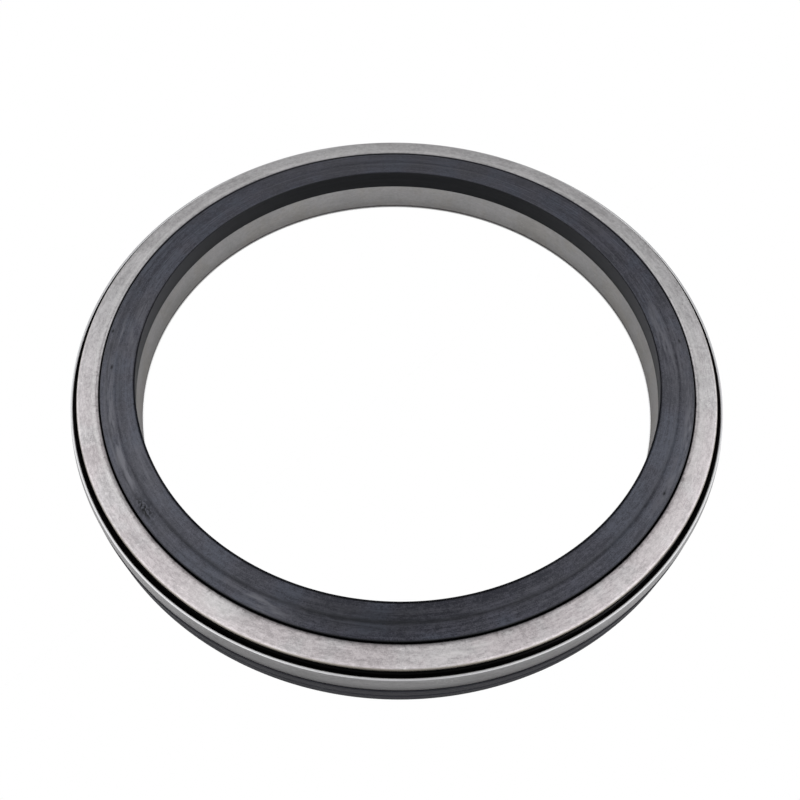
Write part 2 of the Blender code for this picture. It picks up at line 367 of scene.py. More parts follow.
# %% Turn the carrier
CARRIER_SHEET = 0.0010
CARRIER_BEND = 0.0006
LIP_ROOM = 0.0065
carrier_under = carrier_top - CARRIER_SHEET
carrier_end = tube_outer + LIP_ROOM
carrier_inner = carrier_wall - CARRIER_SHEET

carrier_section = rounded([
    (carrier_wall, carrier_top, CARRIER_BEND + CARRIER_SHEET),
    (carrier_wall, carrier_foot, 0.0002),
    (carrier_inner, carrier_foot, 0.0002),
    (carrier_inner, carrier_under, CARRIER_BEND),
    (carrier_end, carrier_under, 0.0002),
    (carrier_end, carrier_top, 0.0002),
])
lip_carrier = turned("lip_carrier_fine", carrier_section, 288)

# %% Turn the sealing element
ELEMENT_COVER = 0.0008
ELEMENT_SKIRT = 0.0004
ELEMENT_WALL = 0.0012
WEB = 0.0008
LIP_DROP = 0.0060
AIR_ANGLE = math.radians(25)
AIR_FACE = 0.0026
OIL_FACE = 0.0023
FLEX_WALL = 0.0013
DUST_RISE = 0.0014
DUST_WALL = 0.0005
AXIAL_OFFSET = 0.0022
AXIAL_WALL = 0.0006
LIP_CLEARANCE = 0.0003

element_top = carrier_top + BOND_GAP + ELEMENT_COVER
contact = tube_outer + LIP_CLEARANCE
contact_height = carrier_under - LIP_DROP
wrap = carrier_end - BOND_GAP
under = carrier_under - BOND_GAP
root = wrap - ELEMENT_WALL
bend = CARRIER_BEND + CARRIER_SHEET + BOND_GAP
skirt = carrier_top + BOND_GAP - bend - ELEMENT_SKIRT
web_outer = carrier_inner - BOND_GAP - CARRIER_BEND
axial = step_outer + AXIAL_OFFSET
lean = axial_tip - element_top
seat_radius = spring_coil / 2 + BOND_GAP
spring_seat = arc((spring_ring, spring_height), seat_radius, math.radians(80), math.radians(280), 19)

element_section = rounded([
    (element_edge, element_top, 0.00025),
    (element_edge, skirt, 0.0001),
    (carrier_wall + BOND_GAP, skirt, 0.0001),
    (carrier_wall + BOND_GAP, carrier_top + BOND_GAP, bend),
    (wrap, carrier_top + BOND_GAP),
    (wrap, under),
    (web_outer, under),
    (web_outer, under - WEB, 0.0004),
    (wrap - WEB / 2, under - WEB - FLEX_WALL, FLEX_WALL),
    *spring_seat,
    (spring_seat[-1][0], contact_height - OIL_FACE + 0.0003, 0.0003),
    (contact + OIL_FACE, contact_height - OIL_FACE, 0.0003),
    (contact, contact_height, 0.00005),
    (contact + AIR_FACE * math.tan(AIR_ANGLE), contact_height + AIR_FACE, 0.0005),
    (root - FLEX_WALL, carrier_under - FLEX_WALL, 2 * FLEX_WALL),
    (root - WEB, under, 0.0004),
    (contact, under + DUST_RISE, 0.00005),
    (contact + DUST_WALL / 2, under + DUST_RISE + DUST_WALL, 0.00005),
    (root, under + 2 * DUST_WALL, 0.0003),
    (root, element_top, 0.0003),
    (axial - lean - AXIAL_WALL, element_top, 0.0003),
    (axial - AXIAL_WALL / 2, axial_tip, 0.00005),
    (axial, axial_tip, 0.00005),
    (axial - lean + AXIAL_WALL, element_top, 0.0003),
])
lip_rubber = turned("lip_rubber_fine", element_section, 288)

# %% [markdown]
# ## The garter spring
# It is a long, closely wound coil bent round into a ring, with its ends screwed together. A point on its
# wire goes round three circles at once: the ring, the coil, and the wire's own thickness. The coil's circle
# turns once for each turn of wire, so the whole spring is one closed tube, with few faces for each turn.

# %% Wind the garter spring
WIRE = 0.00042
COIL_POINTS = 12
WIRE_SIDES = 6
coil_radius = spring_coil / 2 - WIRE / 2
coil_turns = round(2 * math.pi * spring_ring / (WIRE * 1.02))


def garter_spring_mesh(name):
    """Ring angle a and coil angle c = turns * a give the wire's middle at radius ring + coil cos c and
    height coil sin c. Each wire point stands off it by half the wire, along the coil's own outward line
    and along the ring."""
    count = coil_turns * COIL_POINTS
    a = 2 * math.pi * np.arange(count)[:, None] / count
    c = coil_turns * a
    w = 2 * math.pi * np.arange(WIRE_SIDES)[None, :] / WIRE_SIDES
    out = coil_radius + WIRE / 2 * np.cos(w)
    along = WIRE / 2 * np.sin(w)
    radius = spring_ring + out * np.cos(c)
    height = spring_height + out * np.sin(c)
    x = radius * np.cos(a) - along * np.sin(a)
    y = radius * np.sin(a) + along * np.cos(a)
    vertices = np.stack((x, y, height), axis=-1).reshape(-1, 3)
    return mesh_of(name, vertices, grid_quads(count, WIRE_SIDES)[:, ::-1])


garter_spring = garter_spring_mesh("garter_spring_coil")
print("turns of wire:", coil_turns)

# %% [markdown]
# ## A shader written as a formula
# Node trees are hard to read as a list of links. Here one class stands for a value in the tree, and
# arithmetic on it adds the Math nodes, so that a pattern reads like the formula in its comment. Any other
# node is made by one method, which sets the node's own settings first, then fills its sockets in order or
# by name. The world and the materials are both node trees, so both are built with it.


# %% Values and nodes
class Wire:
    """One output of a node. Arithmetic on it adds Math nodes."""

    def __init__(self, nodes, socket):
        self.nodes = nodes
        self.socket = socket

    def math(self, operation, *values):
        return self.nodes.node("Math", {"operation": operation}, *values)

    def __add__(self, other):
        return self.math("ADD", self, other)

    def __sub__(self, other):
        return self.math("SUBTRACT", self, other)

    def __rsub__(self, other):
        return self.math("SUBTRACT", other, self)

    def __mul__(self, other):
        return self.math("MULTIPLY", self, other)

    def __truediv__(self, other):
        return self.math("DIVIDE", self, other)

    def __abs__(self):
        return self.math("ABSOLUTE", self)

    __radd__ = __add__
    __rmul__ = __mul__


class Nodes:
    """A node tree under construction."""

    def __init__(self, tree):
        self.tree = tree

    def link(self, socket, value):
        if isinstance(value, Wire):
            self.tree.links.new(value.socket, socket)
        else:
            socket.default_value = value

    def node(self, kind, settings=None, *values, output=0, **named):
        """A node with its settings made first. Values fill the enabled sockets in order, named ones by
        their names."""
        made = self.tree.nodes.new("ShaderNode" + kind)
        for key, value in (settings or {}).items():
            setattr(made, key, value)
        for socket, value in zip([s for s in made.inputs if s.enabled], values):
            self.link(socket, value)
        for key, value in named.items():
            self.link(made.inputs[key.replace("_", " ")], value)
        outputs = [s for s in made.outputs if s.enabled]
        found = outputs[output] if isinstance(output, int) else made.outputs[output]
        return Wire(self, found)

    def split(self, vector):
        """The three numbers of a vector."""
        made = self.tree.nodes.new("ShaderNodeSeparateXYZ")
        self.link(made.inputs[0], vector)
        return [Wire(self, socket) for socket in made.outputs]

    def mix(self, amount, low, high):
        """A colour that goes from low to high as amount goes from 0 to 1."""
        return self.node("Mix", {"data_type": "RGBA"}, amount, low, high)

    def tint(self, amount, colour, by):
        """A colour multiplied by another, as far as amount says."""
        return self.node("Mix", {"data_type": "RGBA", "blend_type": "MULTIPLY"}, amount, colour, by)

    def noise(self, place, scale, detail=2.0, roughness=0.5):
        """Soft noise about 0.5, at a number of cells a unit of place."""
        return self.node("TexNoise", {}, Vector=place, Scale=scale, Detail=detail, Roughness=roughness)

    def between(self, value, low, high):
        """0 below low, 1 above high, and smooth in between."""
        settings = {"interpolation_type": "SMOOTHSTEP"}
        return self.node("MapRange", settings, value, low, high, 0.0, 1.0)

    def hump(self, value, centre, width):
        """exp(-((value - centre) / width)^2): 1 at the centre and nearly 0 two widths away."""
        away = (value - centre) / width
        return away.math("EXPONENT", 0.0 - away * away)


class Paint(Nodes):
    """A material under construction, with one Principled shader."""

    def __init__(self, name):
        self.material = bpy.data.materials.new(name)
        self.material.use_nodes = True
        super().__init__(self.material.node_tree)
        self.shader = self.tree.nodes["Principled BSDF"]

    def set(self, **sockets):
        """Fills the Principled shader's sockets, with spaces in their names written as underscores."""
        for key, value in sockets.items():
            self.link(self.shader.inputs[key.replace("_", " ")], value)

    def cover(self, amount, **sockets):
        """Lays a second Principled shader over the first, as far as amount says."""
        over = self.tree.nodes.new("ShaderNodeBsdfPrincipled")
        for key, value in sockets.items():
            self.link(over.inputs[key.replace("_", " ")], value)
        both = self.tree.nodes.new("ShaderNodeMixShader")
        self.link(both.inputs[0], amount)
        self.tree.links.new(self.shader.outputs[0], both.inputs[1])
        self.tree.links.new(over.outputs[0], both.inputs[2])
        self.tree.links.new(both.outputs[0], self.tree.nodes["Material Output"].inputs["Surface"])


print("a pattern such as 1 - mask * 0.5 now adds two Math nodes")

# %% [markdown]
# ## Patterns that run round a ring
# Brushing, drawing marks and mould flow all run round the axis. A noise that is to follow them has to be
# read at a place that changes slowly round the ring and quickly across it. The direction (x, y) / r goes
# round a circle without a seam, so it gives the first two numbers, and r - z gives the third, which works
# on a level face and on an upright wall alike. The multipliers set how long and how wide the streaks are. A
# soft spot is a bell in two directions, round the ring and across it, and a list of spots puts marks at
# their own places.


# %% Ring coordinates
class Ring:
    """Object coordinates of the point being shaded, as a place on a ring."""

    def __init__(self, paint):
        self.paint = paint
        self.place = paint.node("TexCoord", {}, output="Object")
        x, y, self.z = paint.split(self.place)
        self.radius = x.math("SQRT", x * x + y * y)
        self.east = x / self.radius
        self.north = y / self.radius

    def streaks(self, length, width, detail=2.0, shift=0.0):
        """Noise read at (R east, R north, r - z) / (length, length, width), with R the flange's radius, so
        that its marks are of that length and width."""
        around = flange_edge / length
        across = (self.radius - self.z) / width + shift
        where = self.paint.node("CombineXYZ", {}, self.east * around, self.north * around, across)
        return self.paint.noise(where, 1.0, detail, 0.55)

    def facing(self, azimuth):
        """Cosine of the angle from an azimuth, which counts from the near side (-Y) towards +X."""
        a = math.radians(azimuth)
        return self.east * math.sin(a) - self.north * math.cos(a)

    def spot(self, azimuth, radius, length, width, strength=1.0):
        """strength * exp(-(along / length)^2 - (across / width)^2), where across is the distance from the
        spot's circle, and along the straight distance round it, whose square is 2 radius^2 (1 - facing)."""
        along = (1.0 - self.facing(azimuth)) * (2.0 * (radius / length) ** 2)
        across = (self.radius - radius) / width
        power = 0.0 - along - across * across
        return power.math("EXPONENT", power) * strength

    def spots(self, places):
        """Several soft spots added up, each from its azimuth, radius, length, width and strength."""
        return sum((self.spot(*place) for place in places[1:]), self.spot(*places[0]))


# %% [markdown]
# ## Brushed steel
# The flange was finished by turning an abrasive round it, so fine scratches run round the ring. Over them
# lie a short mottle, cloudy patches from handling and oil, dark and pale specks in clusters, and faint
# hairlines from other parts. A hairline is where a long soft noise passes through 0.5: a line with no ends
# of its own, which a second noise cuts into short pieces. Each steel piece then gets marks of its own from
# a short function. The sleeve has polished and smeared spots on the flange, black bonding coat under its
# face rubber, a sheared edge and an oiled bore, and the case has a bright trimmed rim over a wall that gets
# duller towards the rubber.


# %% Make the steels
FLANGE_LIGHT = (0.478, 0.467, 0.475, 1.0)
FLANGE_DARK = (0.275, 0.268, 0.273, 1.0)
CASE_LIGHT = (0.39, 0.385, 0.39, 1.0)
CASE_DARK = (0.27, 0.267, 0.27, 1.0)
CARRIER_LIGHT = (0.30, 0.30, 0.31, 1.0)
CARRIER_DARK = (0.22, 0.22, 0.23, 1.0)
SPRING_LIGHT = (0.42, 0.41, 0.39, 1.0)
SPRING_DARK = (0.33, 0.32, 0.30, 1.0)
PIT = (0.10, 0.09, 0.09, 1.0)
GLINT = (0.66, 0.65, 0.65, 1.0)
WARM_REFLECTION = (1.0, 0.950, 0.955, 1.0)
OLIVE = (0.992, 1.0, 0.998, 1.0)
SHADE_TINT = (0.50, 0.50, 0.51, 1.0)
PAINTED_SHEEN = (0.60, 0.595, 0.59, 1.0)
SHEEN_RADIUS = 0.07845
SHEEN_WIDTH = 0.00045
EDGE_SHADE = (0.22, 0.20, 0.165, 1.0)
EDGE_SHADE_START = 0.00008
EDGE_SHADE_FULL = 0.00034
PAINTED_HIGHLIGHTS = ((70.0, 0.0788, 0.010, 0.0013, 0.26), (50.0, 0.0798, 0.008, 0.0016, 0.18),
            (332.0, 0.0798, 0.007, 0.0022, 0.26), (186.0, 0.0799, 0.014, 0.0016, 0.20),
            (10.0, 0.0800, 0.004, 0.0006, 0.35), (14.0, 0.0793, 0.003, 0.0004, 0.35))
PAINTED_SHADES = ((106.0, 0.0802, 0.012, 0.0030, 0.24), (263.0, 0.0803, 0.014, 0.0030, 0.27),
           (317.0, 0.0797, 0.010, 0.0020, 0.20), (22.0, 0.0804, 0.008, 0.0014, 0.24),
           (12.0, 0.0797, 0.0018, 0.0003, 0.50))
RECESS_SHADE = (0.006, 0.006, 0.008, 1.0)
RECESS_SHADE_START = -0.00002
RECESS_SHADE_FULL = 0.00022
RECESS_SHADE_LOWER = 0.00016
BESIDE_JOINT = 0.0006
ROLL_SHADE_END = 0.0016
NEAR_SHADE_END = 0.0022
BORE_STEEL = (0.500, 0.497, 0.498, 1.0)
BORE_OIL = (0.97, 0.955, 0.925, 1.0)
BORE_FOOT = (0.90, 0.895, 0.885, 1.0)
BORE_FOOT_START = 0.0042
BORE_FOOT_FULL = 0.0012
END_SHADE_LINE = 0.0008
RIM_HIGHLIGHT = (0.45, 0.45, 0.46, 1.0)
RIM_EDGE = 0.00025
BAND_FOOT = 0.0004


def hairlines(ring, lean, spacing):
    """1 on thin lines about `spacing` apart that lean by an angle, and 0 elsewhere."""
    paint = ring.paint
    x, y, _ = paint.split(ring.place)
    along = (x * math.cos(lean) + y * math.sin(lean)) / (8.0 * spacing)
    across = (y * math.cos(lean) - x * math.sin(lean)) / spacing
    field = paint.noise(paint.node("CombineXYZ", {}, along, across, 0.0), 1.0, 2.0)
    broken = paint.between(paint.noise(ring.place, 0.35 / spacing, 2.0), 0.54, 0.62)
    return (1.0 - paint.between(abs(field - 0.5), 0.003, 0.012)) * broken


def flange_marks(ring, colour, flange):
    """Olive patches, a warm tint of painted reflection on the near side, a painted sheen beside the rubber,
    painted shade down the rolled edge and on the inner roll, and spots of painted highlight and shade."""
    paint = ring.paint
    patch = paint.noise(ring.place, 90.0, 3.0, 0.6)
    front = paint.between(ring.facing(0.0), -0.3, 0.6)
    # painted reflection: a warm tint of the near light, in patches, on the near side only
    colour = paint.tint((0.45 + 0.55 * paint.between(patch, 0.36, 0.56)) * front, colour, WARM_REFLECTION)
    colour = paint.tint(paint.between(patch, 0.54, 0.40), colour, OLIVE)
    # painted sheen: a pale band on the flange beside the rubber, left off on the near side
    sheen = paint.hump(ring.radius, SHEEN_RADIUS, SHEEN_WIDTH) * flange
    sheen = sheen * (1.0 - paint.between(ring.facing(15.0), 0.3, 0.8))
    colour = paint.mix(0.30 * sheen, colour, PAINTED_SHEEN)
    # painted shade, brownish, down the flange's rolled outer edge
    rolled = paint.between(ring.radius, flange_edge - EDGE_ROLL, flange_edge - EDGE_ROLL / 2)
    edge_shade = paint.between(face - ring.z, EDGE_SHADE_START, EDGE_SHADE_FULL) * rolled
    colour = paint.mix(0.85 * edge_shade, colour, EDGE_SHADE)
    # painted shade on the inner roll beside the rubber, on the near side only
    inner_roll_shade = 1.0 - paint.between(ring.radius, joint + BESIDE_JOINT, joint + ROLL_SHADE_END)
    colour = paint.tint(0.5 * inner_roll_shade * paint.between(ring.facing(0.0), 0.85, 1.0), colour, SHADE_TINT)
    # spots of painted highlight, then spots of painted shade, where the flange's brightness changes round the
    # ring
    colour = paint.mix(ring.spots(PAINTED_HIGHLIGHTS), colour, PAINTED_SHEEN)
    return paint.tint(ring.spots(PAINTED_SHADES), colour, SHADE_TINT)


def bore_marks(ring, colour, flange):
    """Plain steel, oil blots off the flange, darker towards the tube's end and painted shade on its end."""
    paint = ring.paint
    colour = paint.mix((1.0 - flange) * 0.45, colour, BORE_STEEL)
    oil = paint.between(paint.noise(ring.place, 130.0, 4.0, 0.7), 0.46, 0.62) * (1.0 - flange)
    colour = paint.tint(oil, colour, BORE_OIL)
    foot = paint.between(ring.z, tube_end + BORE_FOOT_START, tube_end + BORE_FOOT_FULL)
    colour = paint.tint(foot, colour, BORE_FOOT)
    # painted shade: a nearly black line on the tube's end, where it hangs just over the floor
    return paint.mix(0.90 * paint.between(ring.z, tube_end + END_SHADE_LINE, tube_end + END_SHADE_LINE / 2), colour, PIT)


def recess_marks(ring, colour, flange):
    """Speckled painted shade beside the rubber on the near side, and black painted shade in the recess."""
    paint = ring.paint
    near = paint.between(ring.facing(0.0), -0.7, 0.3)
    # painted shade: speckled darkening on the flange beside the joint, on the near side only
    near_joint_shade = paint.between(paint.noise(ring.place, 900.0, 3.0, 0.6), 0.54, 0.66)
    near_joint_shade = near_joint_shade * (1.0 - paint.between(ring.radius, joint + BESIDE_JOINT, joint + NEAR_SHADE_END)) * near * flange
    colour = paint.mix(near_joint_shade * 0.45, colour, PIT)
    # painted shade: black in the recess by the joint, reaching lower on the near side
    below = paint.between(face - ring.z - RECESS_SHADE_LOWER * near, RECESS_SHADE_START, RECESS_SHADE_FULL)
    inside = 1.0 - paint.between(ring.radius, joint + PRESSED_ROLL, joint + PRESSED_ROLL + 0.0001)
    outside = paint.between(ring.radius, tube_inner + 0.0001, tube_inner + 0.0003)
    return paint.mix(below * inside * outside, colour, RECESS_SHADE)


def sleeve_marks(ring, colour):
    """The marks of the flange, of the bore and of the recess, one over the other."""
    flange = ring.paint.between(ring.z, face - 0.0015, face - 0.0011)
    for marks in (flange_marks, bore_marks, recess_marks):
        colour = marks(ring, colour, flange)
    return colour


def case_marks(ring, colour):
    """Painted highlight on the rim, painted shade darkening the wall down to the rubber, and a dark foot
    line.
    """
    paint = ring.paint
    # painted shade: the wall darkens down to the rubber, as the floor it mirrors does
    band_shade = 1.0 - paint.between(ring.z, band_end + BAND_FOOT / 2, rim_top)
    colour = paint.tint(band_shade, colour, SHADE_TINT)
    # painted shade: a dark line in the step at the band's foot
    foot = paint.between(ring.z, band_end + BAND_FOOT, band_end - BAND_FOOT / 2)
    colour = paint.mix(0.7 * foot, colour, PIT)
    # painted highlight on the rim's top
    rim = paint.between(ring.z, rim_top - RIM_EDGE, rim_top - 0.3 * RIM_EDGE)
    return paint.mix(rim, colour, RIM_HIGHLIGHT)


def steel(name, light, dark, rough, size, marks=None):
    """Metal between two colours. Brushing, mottle, grain and clouds, each with its share, make one tone,
    and specks and hairlines lie over it."""
    paint = Paint(name)
    ring = Ring(paint)
    fine = ring.streaks(6.0 * size, 0.6 * size, 3.0)
    broad = ring.streaks(30.0 * size, 3.6 * size, 2.0, 7.3)
    mottle = ring.streaks(4.0 * size, 2.0 * size, 4.0, 3.1)
    grain = paint.noise(ring.place, 1.1 / size, 2.0, 0.6)
    cloud = paint.noise(ring.place, 0.035 / size, 4.0, 0.6)
    wide = paint.noise(ring.place, 0.010 / size, 2.0, 0.5)
    tone = 0.18 * fine + 0.14 * broad + 0.23 * mottle + 0.20 * grain + 0.13 * cloud + 0.12 * wide
    colour = paint.mix(paint.between(tone, 0.40, 0.60), dark, light)
    cluster = paint.between(paint.noise(ring.place, 0.045 / size, 2.0), 0.50, 0.62)
    speck = paint.between(paint.noise(ring.place, 0.70 / size, 2.0, 0.6), 0.62, 0.72) * cluster
    other = paint.between(paint.noise(ring.place, 0.055 / size, 2.0, 0.4), 0.44, 0.34)
    glint = paint.between(paint.noise(ring.place, 0.60 / size, 2.0, 0.6), 0.40, 0.30) * other
    hair = hairlines(ring, 0.5, 11.0 * size) + hairlines(ring, 2.2, 14.0 * size)
    colour = paint.mix(0.45 * speck + 0.08 * hair, colour, PIT)
    colour = paint.mix(0.6 * glint, colour, GLINT)
    if marks:
        colour = marks(ring, colour)
    bump = paint.node("Bump", {}, Strength=0.20, Distance=0.00002, Height=fine + 0.6 * mottle - 0.4 * hair)
    roughness = rough + 0.12 * (broad - 0.5) + 0.10 * (mottle - 0.5) + 0.15 * speck
    paint.set(Base_Color=colour, Metallic=1.0, Roughness=roughness, Normal=bump)
    return paint.material


sleeve_steel = steel("sleeve_steel", FLANGE_LIGHT, FLANGE_DARK, 0.40, 0.0003, sleeve_marks)
case_steel = steel("case_steel", CASE_LIGHT, CASE_DARK, 0.34, 0.00026, case_marks)
carrier_steel = steel("carrier_steel", CARRIER_LIGHT, CARRIER_DARK, 0.42, 0.0003)
spring_steel = steel("spring_steel", SPRING_LIGHT, SPRING_DARK, 0.28, 0.0002)
print("steels:", sleeve_steel.name, case_steel.name, carrier_steel.name, spring_steel.name)

# %% [markdown]
# ## Moulded rubber
# Nitrile and acrylic rubbers come out of the mould blue-black with a satin skin. Flow marks run round the
# ring, a fine grain covers it, and a pale bloom lies in patches. Rubber is a dull dielectric, so most of
# what changes over it is colour and roughness. The sealing element's top is painted black as the shade of
# the gap under the flange, and a line of painted highlight lies along its edge where the open gap shows it.


# %% Make the rubbers
def rubber_flow(paint, ring, size):
    """Flow marks of three sizes, grain and bloom as one number about 0.5, and two of them for the bump."""
    fine = ring.streaks(18.0 * size, 0.8 * size, 3.0)
    broad = ring.streaks(110.0 * size, 3.5 * size, 2.0, 5.7)
    short = ring.streaks(5.0 * size, 2.2 * size, 4.0, 2.3)
    grain = paint.noise(ring.place, 1.0 / size, 2.0, 0.6)
    bloom = paint.noise(ring.place, 0.03 / size, 4.0, 0.6)
    return 0.16 * fine + 0.20 * broad + 0.20 * short + 0.26 * grain + 0.18 * bloom, fine, broad


def lip_marks(ring, colour):
    """Painted shade blackens the element's top, and a painted highlight lies along its upper edge by the gap.
    """
    paint = ring.paint
    # painted shade: the element's top is black where it lies in the gap under the flange
    gap_shade = paint.between(ring.z, element_top - GAP_SHADE_DEPTH, element_top - GAP_SHADE_DEPTH / 3)
    # painted highlight: a pale line along the element's upper edge on one side of the gap
    return paint.mix(ring.spot(*LIP_GAP_HIGHLIGHT), paint.mix(gap_shade, colour, GAP_SHADE), GAP_HIGHLIGHT)


def rubber(name, light, dark, rough, size, level, marks=None):
    """Dark dielectric: flow marks lighten it and change its roughness, and a fine grain covers it."""
    paint = Paint(name)
    ring = Ring(paint)
    tone, fine, broad = rubber_flow(paint, ring, size)
    grain = paint.noise(ring.place, 2600.0, 2.0, 0.6)
    colour = paint.mix(paint.between(tone, 0.38, 0.62), dark, light)
    if marks:
        colour = marks(ring, colour)
    relief = paint.node("Bump", {}, Strength=0.25, Distance=0.00003, Height=fine + 0.5 * grain)
    paint.set(Base_Color=colour, Roughness=rough + 0.12 * (broad - 0.5), Normal=relief,
              Specular_IOR_Level=level)
    return paint.material


COVER_LIGHT = (0.017, 0.017, 0.022, 1.0)
COVER_DARK = (0.006, 0.006, 0.009, 1.0)
LIP_LIGHT = (0.020, 0.020, 0.021, 1.0)
LIP_DARK = (0.008, 0.008, 0.009, 1.0)
GAP_SHADE = (0.0015, 0.0015, 0.0015, 1.0)
GAP_SHADE_DEPTH = 0.0024
GAP_HIGHLIGHT = (0.070, 0.070, 0.073, 1.0)
LIP_GAP_HIGHLIGHT = (46.0, 0.0830, 0.024, 0.0003)
cover_rubber = rubber("cover_rubber", COVER_LIGHT, COVER_DARK, 0.50, 0.0003, 0.14)
lip_material = rubber("lip_rubber", LIP_LIGHT, LIP_DARK, 0.70, 0.0004, 0.04, lip_marks)
print("rubbers:", cover_rubber.name, lip_material.name)

# %% [markdown]
# ## The face rubber's marks
# The face is what one looks at, so it has marks of its own: painted shade in the crease, deepest on the near
# side, a second faint ring outside it, pale streaks of painted light on the left and right, painted shade
# at the parting groove and the outer edge, dark patches of painted shadow, a scuff and small nicks. Its flow
# marks are calmer on the far side. The lining in the bore is darker and duller, with a painted highlight on
# its upper part at the left and right, so it's darkest at the back. On the lining, at the painted shade and
# at the worn places, a second, duller shader lies over the first.

# %% Make the face rubber
FACE_LIGHT = (0.031, 0.031, 0.040, 1.0)
FACE_DARK = (0.002, 0.002, 0.005, 1.0)
FACE_LIT = (0.062, 0.062, 0.070, 1.0)
FACE_SHADE_AND_WEAR = (0.0068, 0.0074, 0.0088, 1.0)
FACE_SHEEN = (0.86, 0.88, 1.0, 1.0)
SLATE = (0.86, 0.96, 1.0, 1.0)
KHAKI = (1.0, 0.995, 0.93, 1.0)
FACE_MIDDLE = 0.505
CALM = 0.55
LINING_DARK = (0.0027, 0.0032, 0.0043, 1.0)
LINING_HIGHLIGHT = (0.0245, 0.0250, 0.0290, 1.0)
LINING_START = 0.00036
LINING_FULL = 0.00050
DULL_LEVEL = 0.12
CREASE_SPREAD = 0.00060
SECOND_RING = 0.0752
SECOND_WIDTH = 0.0003
GROOVE_SPREAD = 0.0002
SCUFF = (310.2, 0.0748, 0.0034, 0.0012)
SHADOWS = ((358.0, 0.0710, 0.020, 0.0016, 1.5), (357.0, 0.0742, 0.016, 0.0014, 1.3),
           (284.0, 0.0720, 0.010, 0.0006), (234.0, 0.0761, 0.010, 0.0008),
           (178.0, 0.0735, 0.030, 0.0035, 0.6), (262.0, 0.0744, 0.012, 0.0006))
NICKS = ((277.0, 0.0742, 0.0008, 0.0003), (268.0, 0.0760, 0.0006, 0.0003), (94.5, 0.0750, 0.0007, 0.0003),
         (58.0, 0.0752, 0.0006, 0.0003))
LIT_PATCHES = ((290.0, 0.0746, 0.020, 0.0012, 0.9), (73.0, 0.0759, 0.012, 0.0011, 0.9),
          (340.0, 0.0755, 0.0050, 0.0014, 1.1), (336.0, 0.0740, 0.0070, 0.0009, 0.8),
          (300.0, 0.0745, 0.0062, 0.0008, 1.2), (268.0, 0.0735, 0.0070, 0.0007, 0.8),
          (266.0, 0.0703, 0.016, 0.0018, 0.5), (92.0, 0.0735, 0.014, 0.0030, 0.35),
          (98.0, 0.0706, 0.014, 0.0016, 0.6), (58.0, 0.0752, 0.010, 0.0010, 0.5),
          (270.0, 0.0753, 0.008, 0.0008, 0.4), (302.0, 0.0705, 0.014, 0.0016, 0.4))


def face_colour(ring, tone):
    """Dark rubber lightened by its flow marks, tinted in patches, and paled by streaky painted light in
    spots.
    """
    paint = ring.paint
    colour = paint.mix(paint.between(tone, 0.42, 0.59), FACE_DARK, FACE_LIGHT)
    hue = paint.noise(ring.place, 100.0, 2.0, 0.5)
    colour = paint.tint(paint.between(hue, 0.48, 0.62), colour, SLATE)
    colour = paint.tint(paint.between(hue, 0.52, 0.38), colour, KHAKI)
    # painted light: pale streaky patches, mostly on the left and right
    pale = ring.spots(LIT_PATCHES) * paint.between(ring.streaks(0.0060, 0.0007, 4.0, 9.1), 0.36, 0.64)
    return paint.mix(pale.math("MINIMUM", pale, 1.0), colour, FACE_LIT)


def shade_and_wear(ring, worn):
    """Dullness: painted shade at crease, groove and outer edge, a second ring, shadows and what is worn."""
    paint = ring.paint
    near = paint.between(ring.facing(5.0), 0.1, 0.9)
    left = paint.between(ring.facing(290.0), 0.5, 0.95)
    # painted shade in the crease, strongest on the near side
    crease = paint.hump(ring.radius, CREASE_RADIUS, CREASE_SPREAD) * (0.15 + 0.85 * near)
    second = paint.hump(ring.radius, SECOND_RING, SECOND_WIDTH) * left
    # painted shade in the parting groove
    groove = paint.hump(ring.radius, parting, GROOVE_SPREAD)
    # painted shade at the rubber's outer edge by the joint, strongest on the near side
    edge = paint.between(ring.radius, rubber_edge - 0.0004, rubber_edge - 0.00005) * (0.3 + 0.7 * near)
    return 0.55 * crease + 0.30 * second + worn + groove + edge + 0.30 * ring.spots(SHADOWS)


def lining_mask(ring):
    """1 on the lining down the bore and on the rounded edge over it, and 0 on the face."""
    paint = ring.paint
    lip = 1.0 - paint.between(ring.radius, bore_edge + 0.00004, bore_edge + 0.00020)
    below = paint.between(face - ring.z, LINING_START, LINING_FULL)
    return below.math("MAXIMUM", below, lip)


def face_rubber_material():
    """Satin face rubber, with a dull shader over it on the lining, its painted shade and its worn places."""
    paint = Paint("face_rubber")
    ring = Ring(paint)
    tone, fine, broad = rubber_flow(paint, ring, 0.0003)
    tone = tone + (FACE_MIDDLE - tone) * (CALM * paint.between(ring.facing(180.0), 0.3, 0.9))
    scratchy = paint.between(ring.streaks(0.0009, 0.0006, 3.0, 4.4), 0.42, 0.52)
    worn = ring.spot(*SCUFF) * scratchy + ring.spots(NICKS)
    relief = paint.node("Bump", {}, Strength=0.25, Distance=0.00003, Height=fine + tone - 2.0 * worn)
    roughness = 0.26 + 0.14 * (broad - 0.5) + 0.12 * worn
    paint.set(Base_Color=face_colour(ring, tone), Roughness=roughness, Normal=relief,
              Specular_Tint=FACE_SHEEN)
    lining = lining_mask(ring)
    # painted highlight on the lining's upper part at the left and right, so the back stays darkest
    sideways = ring.east * ring.east
    top = paint.between(ring.z, lining_end - 0.0010, lining_end + 0.0030) * lining * sideways * sideways
    shade = paint.mix(paint.between(0.5 * fine + 0.5 * broad, 0.36, 0.64), LINING_DARK, FACE_SHADE_AND_WEAR)
    dull = lining + shade_and_wear(ring, worn)
    paint.cover(dull.math("MINIMUM", dull, 1.0), Base_Color=paint.mix(top, shade, LINING_HIGHLIGHT),
                Roughness=0.45, Normal=relief, Specular_IOR_Level=DULL_LEVEL)
    return paint.material


face_rubber = face_rubber_material()
print("marks on the face:", len(NICKS), "nicks,", len(LIT_PATCHES), "patches of bloom and a scuff")

